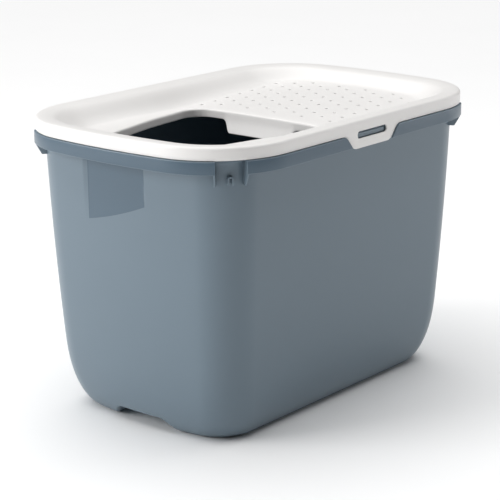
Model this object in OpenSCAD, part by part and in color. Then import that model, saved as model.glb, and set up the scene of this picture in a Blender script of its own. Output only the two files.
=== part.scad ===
// Top-entry cat litter box: a deep drafted tub with an overhanging rim, and a lift-off lid whose dished,
// perforated platform leads to an entry opening. Two flexing tabs on the long sides hold the lid down.
// X runs along the length (the entry is at -X), Y across the width, Z up. The origin is on the floor,
// under the middle of the box.

/* [Overall] */
// Length over the rim skirt
box_l = 585; // [540:1:630]
// Width over the rim skirt
box_w = 389; // [365:1:415]
// Height to the top of the lid's bead
box_h = 395; // [380:1:430]

/* [Plan shape] */
// Corner radius of the rim in plan
rim_corner_r = 113; // [95:1:120]
// How far the short ends of the rim bow out
rim_bow = 21.7; // [10:0.1:28]
// Corner radius of the tub at the top of its wall
tub_corner_r = 61.4; // [50:0.1:70]
// How much that radius shrinks from the top of the wall to the floor
tub_corner_taper = 8.2; // [0:0.1:12]
// How far the short ends of the tub bow out
tub_bow = 15.2; // [8:0.1:20]

/* [Tub] */
// Thickness of the tub's walls and floor
wall = 2.2; // [1.8:0.1:3]
// Distance from the rim's edge in to the wall at the top
overhang = 24.4; // [20:0.1:30]
// Straight part of the wall's draft, from top to floor
wall_draft = 11.1; // [5:0.1:20]
// Curved part of the wall's draft, from top to floor
wall_belly = 9.2; // [0:0.1:15]
// Height of the rounding at the foot of the wall
foot_round_h = 94; // [60:1:110]
// Depth of the rounding at the foot of the wall
foot_round_w = 28.4; // [15:0.1:35]
// Height of the arch under each short end, between the feet
arch_h = 18.7; // [8:0.1:24]
// Half the width of the arch where it is full height
arch_top = 34; // [20:1:40]
// Half the width of the arch on the floor
arch_foot = 60; // [50:1:75]
// How far the arch runs in under the tub, from the end of the rim
arch_reach = 108; // [95:1:130]

/* [Rim] */
// Height of the gap line between the tub and the lid, below the top of the lid
seam_drop = 16.3; // [14:0.1:20]
// Height of the rim skirt's lower edge, below the top of the lid
rim_drop = 33.7; // [30:0.1:38]
// Thickness of the rim skirt
rim_t = 2.4; // [2:0.1:3]
// Thickness of the flange between the wall and the skirt
flange_t = 2.5; // [2:0.1:3]
// Height of the lip that locates the lid, above the flange
lip_h = 6; // [4:0.1:8]
// Distance from the rim's edge in to that lip
lip_inset = 6; // [5.4:0.1:8]

/* [Lid] */
// Thickness of the lid
lid_t = 2.2; // [1.8:0.1:2.6]
// Distance from the rim's edge in to the lid's skirt
lid_inset = 2; // [1:0.1:3]
// Radius of the bead's outer edge
bead_r = 4; // [3:0.1:6]
// Distance from the rim's edge in to the bead's inner edge
bead_in = 22; // [18:1:30]
// How far the bead drops from its crown to its inner edge
bead_fall = 1; // [0:0.1:2]
// Distance from the rim's edge in to the foot of the slope inside the bead
slope_in = 64; // [56:1:70]
// Height of the platform at its reference line, below the top of the lid
platform_drop = 20.1; // [15:0.1:25]
// Rise of the platform towards the far end, per millimetre
platform_rise = 0.037; // [0:0.001:0.05]

/* [Perforations] */
// Diameter of a drain hole
hole_d = 5; // [3:0.1:6]
// Half the distance between two holes along a row
hole_step = 13.8; // [12:0.1:15]
// Distance between two rows of holes
row_step = 23.9; // [20:0.1:26]
// Middle of the field of holes
hole_mid = 124; // [120:1:130]

/* [Entry] */
// Where the platform ends and the entry begins
entry_edge = 9; // [0:1:15]
// Where the entry ends, towards the short end
entry_end = -228; // [-230:1:-200]
// Half the width of the entry, extended to the platform's edge
entry_half = 120; // [100:1:122]
// Half the width of the entry, extended to its other end
entry_end_half = 69; // [55:1:72]
// Radius of the entry's corners at the platform
entry_r = 27; // [20:1:55]
// Radius of the entry's corners at the other end
entry_end_r = 28; // [20:1:40]
// Height of the collar round the entry
collar_h = 10.5; // [8:0.1:14]
// Height of the apron that hangs under the platform's edge
apron_h = 28; // [20:0.1:34]
// Half the width of the apron
apron_half = 46; // [30:1:50]
// How far the apron's lower lip leans in over the entry
apron_lean = 7; // [0:0.5:10]
// Distance over which the collar deepens into the apron
apron_sweep = 29; // [10:1:36]

/* [Latches] */
// Half the width of a latch tab where it leaves the skirt
tab_half = 66; // [60:1:70]
// Middle of a latch tab along the box
tab_mid = 3.5; // [0:0.5:5]
// How far a tab's sides lean in down to its lower edge
tab_lean = 16.5; // [10:0.5:26]
// How far a tab reaches below the lid's skirt
tab_reach = 19.7; // [15:0.1:24]
// Gap between a tab and the rim skirt
tab_gap = 1.6; // [1:0.1:2.5]
// Half the width of the slot in a tab
slot_half = 31.7; // [20:0.1:36]
// Height of the slot in a tab
slot_h = 9.5; // [6:0.1:11]
// Height of the slot's top, above the lid's skirt edge
slot_rise = 2.3; // [1:0.1:4]

/* [Corner brackets] */
// First edge of a corner bracket, in degrees round the rim's corner
bracket_from = 39; // [30:0.5:42]
// Last edge of a corner bracket, in degrees round the rim's corner
bracket_to = 61.5; // [58:0.5:70]
// Thickness of a gusset
gusset_t = 2.2; // [1.8:0.1:3]
// How far a gusset reaches below the rim skirt
gusset_reach = 15.8; // [8:0.1:20]

/* [Hidden] */
tub_colour = [0.45, 0.52, 0.58];
lid_colour = [0.93, 0.92, 0.91];
half_l = box_l / 2;
half_w = box_w / 2;
seam_z = box_h - seam_drop;
skirt_z = box_h - rim_drop;
rim_top = seam_z - 0.7;
flange_z = rim_top - flange_t;
wall_span = skirt_z - 1;
floor_h = 40;
foot_x = half_l - arch_reach - 6;
slope_cut = slope_in - 8;
corner_steps = 10;
end_steps = 6;

// ---- plan outlines -------------------------------------------------------------------------------------

// Radius of an end that bows out by s over the half width b
function end_radius(b, s) = (b * b + s * s) / (2 * s);

// Centre of the corner arc of an outline with half sizes a and b
function corner_centre(a, b, r, s) =
    let (big = end_radius(b, s))
    [a - big + sqrt(pow(big - r, 2) - pow(b - r, 2)), b - r];

// One quarter of an outline: half of the bowed end, then the corner
function quarter(a, b, r, s) =
    let (big = end_radius(b, s),
         c = corner_centre(a, b, r, s),
         turn = atan2(c[1], c[0] - (a - big)))
    concat([for (i = [0 : end_steps - 1])
                let (t = turn * (i + 0.5) / end_steps)
                [a - big + big * cos(t), big * sin(t)]],
           [for (i = [0 : corner_steps])
                let (t = turn + (90 - turn) * i / corner_steps)
                c + r * [cos(t), sin(t)]]);

function reversed(list) = [for (i = [len(list) - 1 : -1 : 0]) list[i]];

// The whole outline, anticlockwise
function outline(a, b, r, s) =
    let (q = quarter(a, b, r, s))
    concat(q,
           [for (p = reversed(q)) [-p[0], p[1]]],
           [for (p = q) [-p[0], -p[1]]],
           [for (p = reversed(q)) [p[0], -p[1]]]);

// The rim's outline, moved in by d
function rim_outline(d) = outline(half_l - d, half_w - d, rim_corner_r - d, rim_bow);

// How far the tub's outer wall stands in from the rim's edge at height z
function wall_inset(z) =
    let (t = (wall_span - z) / wall_span,
         u = z < foot_round_h ? 1 - z / foot_round_h : 0)
    overhang + wall_draft * t + wall_belly * t * t
    + foot_round_w * (1 - pow(1 - pow(u, 2.24), 1 / 2.24));

// The tub's outline at height z, moved in by d
function tub_outline(z, d) =
    let (w = wall_inset(z) + d)
    outline(half_l - w, half_w - w, tub_corner_r - tub_corner_taper * (wall_span - z) / wall_span, tub_bow);

// Heights of the rings of the tub's wall: close together in the rounding at its foot
function ring_heights(low, high) =
    concat([for (i = [0 : 9]) low + (foot_round_h - low) * (1 - cos(90 * i / 10))],
           [for (i = [0 : 5]) foot_round_h + (high - foot_round_h) * i / 5]);

function unit(v) = v / norm(v);

// Corners rounded to the given radii: points and radii run side by side
function rounded(points, radii, steps = 8) =
    [for (i = [0 : len(points) - 1])
        let (p = points[i],
             before = unit(points[(i + len(points) - 1) % len(points)] - p),
             after = unit(points[(i + 1) % len(points)] - p),
             half = acos(before * after) / 2,
             r = radii[i],
             c = p + unit(before + after) * r / sin(half),
             from = p + before * r / tan(half) - c,
             to = p + after * r / tan(half) - c)
        for (k = [0 : r > 0 ? steps : 0])
            r > 0 ? c + r * unit(from * sin(90 * (1 - k / steps)) + to * sin(90 * k / steps)) : p];

// The entry's outline, grown by d
function entry_outline(d) =
    let (slope = (entry_half - entry_end_half) / (entry_edge - entry_end),
         far = entry_half + slope * d + d * sqrt(1 + slope * slope),
         near = entry_end_half - slope * d + d * sqrt(1 + slope * slope))
    let (edge_y = [for (k = [-1, 1]) for (t = [0 : 8]) k * (apron_half + apron_sweep * (k > 0 ? t : 8 - t) / 8)],
         drawing = concat([[entry_edge + d, -far]], [for (y = edge_y) [entry_edge + d, y]],
                          [[entry_edge + d, far], [entry_end - d, near], [entry_end - d, -near]]))
    rounded(drawing, concat([entry_r + d], [for (y = edge_y) 0], [entry_r + d, entry_end_r + d, entry_end_r + d]), 10);

// ---- heights -------------------------------------------------------------------------------------------

function smooth(t) = let (c = min(max(t, 0), 1)) c * c * (3 - 2 * c);

// Height of the dished platform, and of the ground round the entry
function platform_z(x, y) =
    box_h - platform_drop + platform_rise * (max(x, 0) - 100)
    + 2.8 * smooth(-x / 120) - 0.00011 * y * y;

// Height of the lid's top surface, inside the bead, at distance d from the rim's edge
function tray_z(x, y, d) =
    let (k = smooth((d - bead_in) / (slope_in - bead_in)))
    (1 - k) * (box_h - bead_fall) + k * platform_z(x, y);

// How far the collar hangs down at a point of the entry's outline: it is deepest at the apron
function collar_drop(x, y) =
    let (t = min(max((apron_half + apron_sweep - abs(y)) / apron_sweep, 0), 1))
    collar_h + (apron_h - collar_h) * (x > -entry_end_half ? smooth(smooth(pow(t, 1.7))) : 0);

// ---- builders ------------------------------------------------------------------------------------------

// A closed solid through a stack of rings with the same number of points
module loft(rings) {
    n = len(rings[0]);
    last = len(rings) - 1;
    polyhedron(
        points = [for (ring = rings) each ring],
        faces = concat(
            [[for (i = [0 : n - 1]) i]],
            [for (k = [0 : last - 1]) for (i = [0 : n - 1])
                let (j = (i + 1) % n)
                each [[k * n + i, k * n + n + i, k * n + n + j], [k * n + i, k * n + n + j, k * n + j]]],
            [[for (i = [n - 1 : -1 : 0]) last * n + i]]),
        convexity = 10);
}

// A closed loop: rings joined to each other, and the last one to the first
module loop(rings) {
    n = len(rings[0]);
    m = len(rings);
    polyhedron(
        points = [for (ring = rings) each ring],
        faces = [for (k = [0 : m - 1]) for (i = [0 : n - 1])
            let (j = (i + 1) % n, next = (k + 1) % m)
            each [[k * n + i, next * n + i, next * n + j], [k * n + i, next * n + j, k * n + j]]],
        convexity = 10);
}

function raised(points, z) = [for (p = points) [p[0], p[1], z]];

// A band of the rim, between two distances in from its edge
module rim_band(outer, inner, low, high) {
    translate([0, 0, low])
        linear_extrude(high - low)
            difference() {
                polygon(rim_outline(outer));
                polygon(rim_outline(inner));
            }
}

// Copies for the four corners
module at_corners() {
    for (mx = [0, 1])
        for (my = [0, 1])
            mirror([mx, 0, 0])
                mirror([0, my, 0])
                    children();
}

// Copies for the front and the rear
module front_and_rear() {
    children();
    mirror([0, 1, 0])
        children();
}

// ---- tub -----------------------------------------------------------------------------------------------

module tub_outer() {
    loft([for (z = ring_heights(0, flange_z)) raised(tub_outline(z, 0), z)]);
}

module tub_inner() {
    loft([for (z = ring_heights(wall, flange_z + 1))
        raised(tub_outline(max(z - wall * max(1 - z / foot_round_h, 0), 0), wall), z)]);
}

// The space under a short end, between the feet, grown by d
module arch(d) {
    edge = [for (i = [0 : 10])
        [arch_foot + d - (arch_foot - arch_top) * i / 10, (arch_h + d) * smooth(i / 10)]];
    translate([-half_l, 0, 0])
        rotate([90, 0, 90])
            linear_extrude(arch_reach + d)
                polygon(concat([[arch_foot + d, -1]], edge,
                               [for (p = reversed(edge)) [-p[0], p[1]]], [[-arch_foot - d, -1]]));
}

// The flat-faced panel in the wall under the near end of the rim, moved in by d and widened by it
module panel(d) {
    panel_mid = 8;
    panel_half = 50;
    panel_crown = -13;
    bow_r = 1000;
    face = half_l - 26.8 - d;
    translate([0, panel_mid, skirt_z - 90])
        linear_extrude(120)
            difference() {
                translate([-half_l, -panel_half - d])
                    square([60, 2 * (panel_half + d)]);
                translate([bow_r - face, panel_crown - panel_mid])
                    circle(bow_r, $fn = 720);
            }
}

// The part of the tub's shell that lies in a box between two corners
module tub_part(low, high) {
    color(tub_colour)
        intersection() {
            difference() {
                tub_outer();
                difference() {
                    tub_inner();
                    arch(wall);
                    mirror([1, 0, 0])
                        arch(wall);
                    panel(wall);
                }
                arch(0);
                mirror([1, 0, 0])
                    arch(0);
                panel(0);
            }
            translate(low)
                cube(high - low);
        }
}

module tub_floor() {
    tub_part([-foot_x, -box_w, -1], [foot_x, box_w, floor_h]);
}

module near_foot() {
    tub_part([-box_l, -box_w, -1], [-foot_x, box_w, floor_h]);
}

module far_foot() {
    tub_part([foot_x, -box_w, -1], [box_l, box_w, floor_h]);
}

module tub_wall() {
    tub_part([-box_l, -box_w, floor_h], [box_l, box_w, box_h]);
}

// ---- rim -----------------------------------------------------------------------------------------------

// A sector of a rim corner, for cutting the brackets out of the rim
module corner_sector(from, to, inner, low, high) {
    c = corner_centre(half_l, half_w, rim_corner_r, rim_bow);
    far = rim_corner_r + 6;
    near = rim_corner_r - inner;
    mid = (from + to) / 2;
    translate([c[0], c[1], low])
        linear_extrude(high - low)
            polygon([near * [cos(from), sin(from)], far * [cos(from), sin(from)], far * [cos(mid), sin(mid)],
                     far * [cos(to), sin(to)], near * [cos(to), sin(to)], near * [cos(mid), sin(mid)]]);
}

// Angle that a gusset takes up round the rim's corner
gusset_turn = gusset_t / rim_corner_r * 180 / PI;

// A latch tab in the X-Z plane, grown by g on its sides and lower edge
function tab_points(g) =
    let (slant = norm([tab_lean, tab_reach]) / tab_reach,
         top = tab_half - 10 + g * slant,
         low = top - tab_lean * (tab_reach + g) / tab_reach)
    rounded([[-tab_half - g, slot_rise], [-tab_half - g, 0], [-top, 0], [-low, -tab_reach - g],
             [low, -tab_reach - g], [top, 0], [tab_half + g, 0], [tab_half + g, slot_rise]],
            [0, 0, 14.5, 14.5, 14.5, 14.5, 0, 0]);

// The space that the front latch tab moves in, cut back to distance d from the rim's edge
module tab_pocket(g, d) {
    translate([tab_mid, d - half_w, seam_z])
        rotate([90, 0, 0])
            linear_extrude(d + 5)
                polygon(tab_points(g));
}

module rim_flange() {
    color(tub_colour)
        difference() {
            translate([0, 0, flange_z])
                linear_extrude(flange_t)
                    difference() {
                        polygon(rim_outline(0));
                        polygon(tub_outline(flange_z, wall));
                    }
            front_and_rear()
                translate([tab_mid - tab_half - tab_gap, -half_w - 5, flange_z - 1])
                    cube([2 * (tab_half + tab_gap), 5 + lip_inset + lid_t, flange_t + 2]);
            at_corners()
                corner_sector(bracket_from + gusset_turn, bracket_to - gusset_turn, 8, flange_z - 1, rim_top + 1);
        }
}

module rim_skirt() {
    color(tub_colour)
        difference() {
            rim_band(0, rim_t, skirt_z, flange_z);
            front_and_rear()
                tab_pocket(tab_gap, rim_t + 1);
            at_corners()
                corner_sector(bracket_from, bracket_to, rim_t + 1, skirt_z - 1, flange_z + 1);
        }
}

// The lip stands inside the lid's skirt, and runs down behind each latch tab
module rim_lip() {
    color(tub_colour) {
        rim_band(lip_inset, lip_inset + lid_t, rim_top, rim_top + lip_h);
        front_and_rear()
            translate([tab_mid - tab_half - tab_gap, lip_inset - half_w, skirt_z - 2])
                cube([2 * (tab_half + tab_gap), lid_t, rim_top - skirt_z + 2]);
    }
}

// Two gussets at each corner, from the wall out to the rim's edge
module corner_gussets() {
    c = corner_centre(half_l, half_w, rim_corner_r, rim_bow);
    color(tub_colour)
        difference() {
            at_corners()
                translate([c[0], c[1], 0])
                    for (side = [0, 1])
                        rotate(side == 0 ? bracket_from : bracket_to)
                            translate([0, side == 0 ? gusset_t : 0, 0])
                                rotate([90, 0, 0])
                                    linear_extrude(gusset_t)
                                        polygon([[rim_corner_r - 30, flange_z], [rim_corner_r - 0.2, flange_z],
                                                 [rim_corner_r - 0.2, skirt_z],
                                                 [rim_corner_r - 9, skirt_z - gusset_reach],
                                                 [rim_corner_r - 30, skirt_z - gusset_reach]]);
            tub_outer();
        }
}

// A small loop on the wall inside each corner bracket
module corner_loops() {
    loop_w = 8;
    loop_h = 10.5;
    loop_hole = 3.4;
    c = corner_centre(half_l, half_w, rim_corner_r, rim_bow);
    color(tub_colour)
        difference() {
            at_corners()
                translate([c[0], c[1], skirt_z - 14])
                    rotate((bracket_from + bracket_to) / 2 - 90)
                        translate([0, rim_corner_r - 7.2, 0])
                            rotate([90, 0, 0])
                                linear_extrude(14)
                                    difference() {
                                        polygon(rounded([[-loop_w / 2, 0], [loop_w / 2, 0],
                                                         [loop_w / 2, loop_h], [-loop_w / 2, loop_h]],
                                                        [0, 0, 3.4, 3.4]));
                                        translate([-loop_hole / 2, -1])
                                            square([loop_hole, loop_h - 1.4]);
                                    }
            tub_outer();
        }
}

// A low ledge behind the slot of each latch tab
module latch_catches() {
    catch_gap = 0.3;
    catch_h = 6;
    face = lid_inset + lid_t + catch_gap;
    color(tub_colour)
        front_and_rear()
            translate([tab_mid + 3 - slot_half, face - half_w, seam_z + slot_rise - slot_h + 1])
                cube([2 * slot_half - 6, lip_inset - face, catch_h]);
}

// ---- lid -----------------------------------------------------------------------------------------------

// One ring of the dish, at distance d from the rim's edge, dropped by t
function dish_ring(d, t) = [for (p = rim_outline(d)) [p[0], p[1], tray_z(p[0], p[1], d) - t]];

// One ring of the middle of the dish, drawn in towards its centre by the factor f
function middle_ring(f, t) =
    [for (p = rim_outline(slope_in)) let (q = p * f) [q[0], q[1], platform_z(q[0], q[1]) - t]];

module dish() {
    insets = [for (i = [0 : 6]) bead_in + (slope_in - bead_in) * i / 6];
    factors = [0.75, 0.45, 0.2];
    heart = platform_z(0, 0);
    tiny = [for (p = rim_outline(slope_in)) p * 0.02];
    loft(concat([raised(tiny, heart - lid_t)],
                [for (f = reversed(factors)) middle_ring(f, lid_t)],
                [for (d = reversed(insets)) dish_ring(d, lid_t)],
                [for (d = insets) dish_ring(d, 0)],
                [for (f = factors) middle_ring(f, 0)],
                [raised(tiny, heart)]));
}

// The holes of one row: odd rows are set half a step along, and the outer rows half a step back
function row_holes(row) =
    let (shift = abs(row) == 5 ? -1 : row % 2 == 0 ? 0 : 1)
    [for (i = [-3 : 3]) [hole_mid + hole_step * (2 * i + shift), row * row_step]];

module perforations() {
    for (row = [-5 : 5])
        for (p = row_holes(row))
            translate([p[0], p[1], box_h - 2 * platform_drop])
                cylinder(h = 2 * platform_drop, d = hole_d, $fn = 12);
}

// An upright prism right through the lid
module through_lid() {
    translate([0, 0, box_h - 60])
        linear_extrude(80)
            children();
}

module lid_platform() {
    color(lid_colour)
        difference() {
            intersection() {
                dish();
                through_lid()
                    polygon(rim_outline(slope_cut));
            }
            through_lid()
                polygon(entry_outline(lid_t));
            perforations();
        }
}

module lid_slope() {
    color(lid_colour)
        difference() {
            dish();
            through_lid()
                polygon(rim_outline(slope_cut));
        }
}

// One ring of the collar: the entry's outline grown by d, at a share of the collar's drop
function collar_ring(d, share, lean) =
    [for (p = entry_outline(d))
        let (drop = collar_drop(p[0], p[1]),
             shift = lean * max(drop - collar_h, 0) / (apron_h - collar_h))
        [p[0] - shift, p[1], platform_z(p[0], p[1]) - drop * share]];

module entry_collar() {
    color(lid_colour)
        loop([collar_ring(0, 0, 0), collar_ring(0, 0.6, apron_lean * 0.35), collar_ring(0, 1, apron_lean),
              collar_ring(lid_t, 1, apron_lean), collar_ring(lid_t, 0.6, apron_lean * 0.35),
              collar_ring(lid_t, 0, 0)]);
}

// The bead in section: distance in from the rim's edge, and height
bead_foot = box_h - bead_r;
bead_section = [
    [lid_inset + lid_t, bead_foot], [lid_inset + bead_r + 0.6, box_h - lid_t],
    [bead_in - 8, box_h - lid_t], [bead_in, box_h - bead_fall - lid_t],
    [bead_in, box_h - bead_fall], [bead_in - 8, box_h], [lid_inset + bead_r, box_h],
    [lid_inset + bead_r * (1 - sin(30)), box_h - bead_r * (1 - cos(30))],
    [lid_inset + bead_r * (1 - sin(60)), box_h - bead_r * (1 - cos(60))],
    [lid_inset, bead_foot]];

module lid_bead() {
    color(lid_colour)
        loop([for (p = bead_section) raised(rim_outline(p[0]), p[1])]);
}

module lid_skirt() {
    color(lid_colour)
        difference() {
            rim_band(lid_inset, lid_inset + lid_t, seam_z, bead_foot);
            front_and_rear()
                translate([tab_mid - tab_half - 0.3, -half_w, seam_z - 1])
                    cube([2 * tab_half + 0.6, lip_inset, slot_rise + 1]);
        }
}

// A latch tab: two legs beside the slot, joined by the bar that a finger pulls
module latch() {
    color(lid_colour)
        translate([tab_mid, lid_inset + lid_t - half_w, seam_z])
            rotate([90, 0, 0])
                linear_extrude(lid_t)
                    difference() {
                        polygon(tab_points(0));
                        polygon(rounded([[-slot_half, slot_rise + 9], [-slot_half, slot_rise - slot_h],
                                         [slot_half, slot_rise - slot_h], [slot_half, slot_rise + 9]],
                                        [0, 4.2, 4.2, 0]));
                    }
}

module front_latch() {
    latch();
}

module rear_latch() {
    mirror([0, 1, 0])
        latch();
}

tub_floor();
near_foot();
far_foot();
tub_wall();
rim_flange();
rim_skirt();
rim_lip();
corner_gussets();
corner_loops();
latch_catches();
lid_platform();
lid_slope();
entry_collar();
lid_bead();
lid_skirt();
front_latch();
rear_latch();
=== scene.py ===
"""A top-entry cat litter box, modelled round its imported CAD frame: tub, lid, latch tabs and a stage."""
import math

import bmesh
import bpy
from bpy.props import FloatProperty, FloatVectorProperty, IntProperty, PointerProperty
from mathutils import Matrix, Vector


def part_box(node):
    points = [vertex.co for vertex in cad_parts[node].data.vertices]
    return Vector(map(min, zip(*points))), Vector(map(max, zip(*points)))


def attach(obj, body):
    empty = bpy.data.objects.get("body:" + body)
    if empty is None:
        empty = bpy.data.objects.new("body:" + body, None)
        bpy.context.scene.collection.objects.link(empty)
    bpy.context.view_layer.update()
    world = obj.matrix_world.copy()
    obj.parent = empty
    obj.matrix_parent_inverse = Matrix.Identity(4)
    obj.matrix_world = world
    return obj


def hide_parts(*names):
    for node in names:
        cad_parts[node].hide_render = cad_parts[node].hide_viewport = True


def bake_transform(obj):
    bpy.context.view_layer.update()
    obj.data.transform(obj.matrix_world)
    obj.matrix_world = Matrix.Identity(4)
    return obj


bl_info = {
    "name": "Top-Entry Litter Box",
    "version": (1, 0, 0),
    "blender": (4, 5, 0),
    "location": "View3D > Sidebar > Litter Box",
    "description": "Models a top-entry cat litter box round its CAD frame",
    "category": "Add Mesh",
}

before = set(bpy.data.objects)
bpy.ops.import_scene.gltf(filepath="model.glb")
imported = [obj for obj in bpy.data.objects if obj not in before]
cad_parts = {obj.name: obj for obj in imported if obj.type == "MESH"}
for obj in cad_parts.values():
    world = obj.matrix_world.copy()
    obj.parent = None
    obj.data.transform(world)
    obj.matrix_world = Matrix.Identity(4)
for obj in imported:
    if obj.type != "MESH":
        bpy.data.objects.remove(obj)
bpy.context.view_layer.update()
MM = 0.001
RIM_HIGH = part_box("rim_flange")[1]
SKIRT_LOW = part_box("rim_skirt")[0]
SEAM_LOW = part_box("lid_skirt")[0]
LID_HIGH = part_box("lid_bead")[1]
WALL_TOP = SKIRT_LOW.z - 1 * MM
# The panel lies above PANEL_ABOVE; the wall's rings bend to its foot between two of the levels
PANEL_ABOVE = 0.2
BEND_LOW, BEND_KEY, BEND_HIGH = 230 * MM, 290 * MM, 350 * MM


def length(name, description, default_mm):
    """A length property: its default is given in millimetres."""
    return FloatProperty(name=name, description=description, default=default_mm * MM, unit="LENGTH",
                         precision=5)


def angle_setting(name, description, degrees):
    """An angle property: its default is given in degrees."""
    return FloatProperty(name=name, description=description, default=math.radians(degrees), subtype="ANGLE",
                         unit="ROTATION")


def colour_setting(name, description, default):
    return FloatVectorProperty(name=name, description=description, default=default, subtype="COLOR", size=3,
                               min=0, max=1)


# ---- sizes and colours ----


class RimSizes(bpy.types.PropertyGroup):
    """The outline that the rim and the lid share, and the rim's section."""
    corner: length("Corner", "Corner radius in plan", 113)
    bow: length("Bow", "How far the short ends bow out", 21.7)
    skirt_wall: length("Skirt wall", "Thickness of the hanging skirt", 2.4)
    flange_wall: length("Flange wall", "Thickness of the flange", 2.5)
    lip_inset: length("Lip inset", "From the rim's edge in to the locating lip", 6)
    lip_wall: length("Lip wall", "Thickness of the locating lip", 2.2)
    lip_height: length("Lip height", "Height of the lip above the flange", 6)


class TubSizes(bpy.types.PropertyGroup):
    """The tub's wall, foot rounding, arches and panel."""
    wall: length("Wall", "Thickness of walls and floor", 2.2)
    overhang: length("Overhang", "From the rim's edge in to the wall's top", 24.4)
    draft: length("Draft", "Straight part of the wall's draft", 11.1)
    belly: length("Belly", "Curved part of the wall's draft", 9.2)
    foot_height: length("Foot height", "Height of the rounding at the wall's foot", 94)
    foot_width: length("Foot width", "Depth of that rounding", 28.4)
    corner: length("Corner", "Corner radius at the top of the wall", 61.4)
    corner_taper: length("Corner taper", "How much that radius shrinks down to the floor", 8.2)
    bow: length("Bow", "How far the short ends bow out", 15.2)
    arch_height: length("Arch height", "Height of the arch under each short end", 18.7)
    arch_top: length("Arch top", "Half the arch's width at full height", 34)
    arch_foot: length("Arch foot", "Half the arch's width on the floor", 60)
    arch_reach: length("Arch reach", "How far the arch runs in from the rim's end", 108)
    panel_middle: length("Panel middle", "Middle of the flat panel, across the box", 8)
    panel_half: length("Panel half", "Half the width of the flat panel", 50)
    panel_inset: length("Panel inset", "From the rim's edge in to the panel's face", 26.8)
    panel_bow: length("Panel bow", "Radius of the panel's face in plan", 1000)
    panel_crown: length("Panel crown", "Where the panel's face stands out most", -13)


class LidSizes(bpy.types.PropertyGroup):
    """The lid's wall, bead, slope and platform."""
    wall: length("Wall", "Thickness of the lid", 2.2)
    inset: length("Inset", "From the rim's edge in to the lid's skirt", 2)
    bead_radius: length("Bead radius", "Radius of the bead's outer edge", 4)
    bead_inner: length("Bead inner", "From the rim's edge in to the bead's inner edge", 22)
    bead_fall: length("Bead fall", "How far the bead drops to its inner edge", 1)
    slope_inner: length("Slope inner", "From the rim's edge in to the slope's foot", 64)
    platform_drop: length("Platform drop", "Depth of the platform below the bead", 20.1)
    platform_rise: FloatProperty(name="Platform rise", description="Rise towards the far end", default=0.037)
    platform_crown: FloatProperty(name="Platform crown", description="Fall to the sides", default=0.11)
    hole: length("Drain hole", "Diameter of a drain hole", 5)
    hole_step: length("Hole step", "Half the step between holes of a row", 13.8)
    row_step: length("Row step", "Distance between two rows", 23.9)
    hole_middle: length("Hole middle", "Middle of the field of holes", 124)


class EntrySizes(bpy.types.PropertyGroup):
    """The entry opening and the collar that hangs round it."""
    edge: length("Edge", "Where the platform ends", 9)
    end: length("End", "Where the entry ends, towards the short end", -228)
    half: length("Half", "Half its width at the platform's edge", 120)
    end_half: length("End half", "Half its width at the other end", 69)
    corner: length("Corner", "Radius of its corners at the platform", 27)
    end_corner: length("End corner", "Radius of its corners at the other end", 28)
    fold: length("Fold", "Radius of the fold from the lid into the collar", 2.6)
    collar: length("Collar", "Height of the collar", 10.5)
    apron: length("Apron", "Height of the apron under the platform's edge", 28)
    apron_half: length("Apron half", "Half the width of the apron", 46)
    apron_sweep: length("Apron sweep", "How far the collar takes to deepen into the apron", 29)
    apron_lean: length("Apron lean", "How far its lip leans in over the entry", 7)


class LatchSizes(bpy.types.PropertyGroup):
    """The flexing tabs on the long sides."""
    middle: length("Middle", "Middle of a tab, along the box", 3.5)
    half: length("Half", "Half a tab's width where it leaves the skirt", 66)
    lean: length("Lean", "How far a tab's sides lean in down to its edge", 16.5)
    reach: length("Reach", "How far a tab hangs below the lid's skirt", 19.7)
    gap: length("Gap", "Gap between a tab and the rim's skirt", 1.6)
    slot_half: length("Slot half", "Half the width of the slot", 31.7)
    slot_height: length("Slot height", "Height of the slot", 9.5)
    slot_rise: length("Slot rise", "Height of the slot's top above the skirt's edge", 2.3)
    patch_half: length("Patch half", "Half the width of skirt that flexes with a tab", 72)
    patch_rise: length("Patch rise", "Height of that stretch of skirt", 9)


class BracketSizes(bpy.types.PropertyGroup):
    """The open brackets at the rim's corners."""
    first: angle_setting("First", "First edge of a bracket round the corner", 39)
    last: angle_setting("Last", "Last edge of a bracket round the corner", 61.5)
    gusset_wall: length("Gusset wall", "Thickness of a gusset", 2.2)
    gusset_reach: length("Gusset reach", "How far a gusset reaches below the rim's skirt", 15.8)
    gusset_taper: length("Gusset taper", "How far its lower end stands in", 9)
    loop_width: length("Loop width", "Width of the small loop on the wall", 8)
    loop_height: length("Loop height", "Height of the small loop on the wall", 10.5)


class PlasticLooks(bpy.types.PropertyGroup):
    """Colours of the two mouldings and the floor; the tub's upright faces get a darker copy of its blue-grey
    as painted shade.
    """
    tub: colour_setting("Tub", "Blue-grey of the tub", (0.152, 0.203, 0.246))
    # Painted shade: a darker copy of the tub's blue-grey for the upright rim skirt and panel face, standing
    # in for their darker tone under the lights
    tub_glossy_shaded: colour_setting("Smooth tub", "The same plastic where it is darkened", (0.082, 0.126, 0.168))
    lid: colour_setting("Lid", "Warm white of the lid", (0.86, 0.845, 0.83))
    floor: colour_setting("Floor", "Pale floor", (0.96, 0.96, 0.96))


class StudioSizes(bpy.types.PropertyGroup):
    """Where the camera stands."""
    target: FloatVectorProperty(name="Target", description="Point on the camera's axis",
                                default=(0, -0.034, 0.191), subtype="TRANSLATION", size=3)
    azimuth: angle_setting("Azimuth", "Camera azimuth", -50.98)
    elevation: angle_setting("Elevation", "Camera elevation", 15.75)
    roll: angle_setting("Roll", "Camera roll", -0.23)
    distance: FloatProperty(name="Distance", description="Distance to target", default=2.39, unit="LENGTH")
    lens: FloatProperty(name="Lens", description="Focal length in millimetres", default=125.95)
    shift: FloatVectorProperty(name="Shift", description="Lens shift", default=(-0.0507, 0.0004), size=2)


class MeshFineness(bpy.types.PropertyGroup):
    """How finely the skins are divided."""
    end_step: length("End step", "Spacing of points across the short ends", 4)
    corner_steps: IntProperty(name="Corner steps", description="Points round a corner", default=24)
    side_steps: IntProperty(name="Side steps", description="Points along a long side", default=56)


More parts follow.
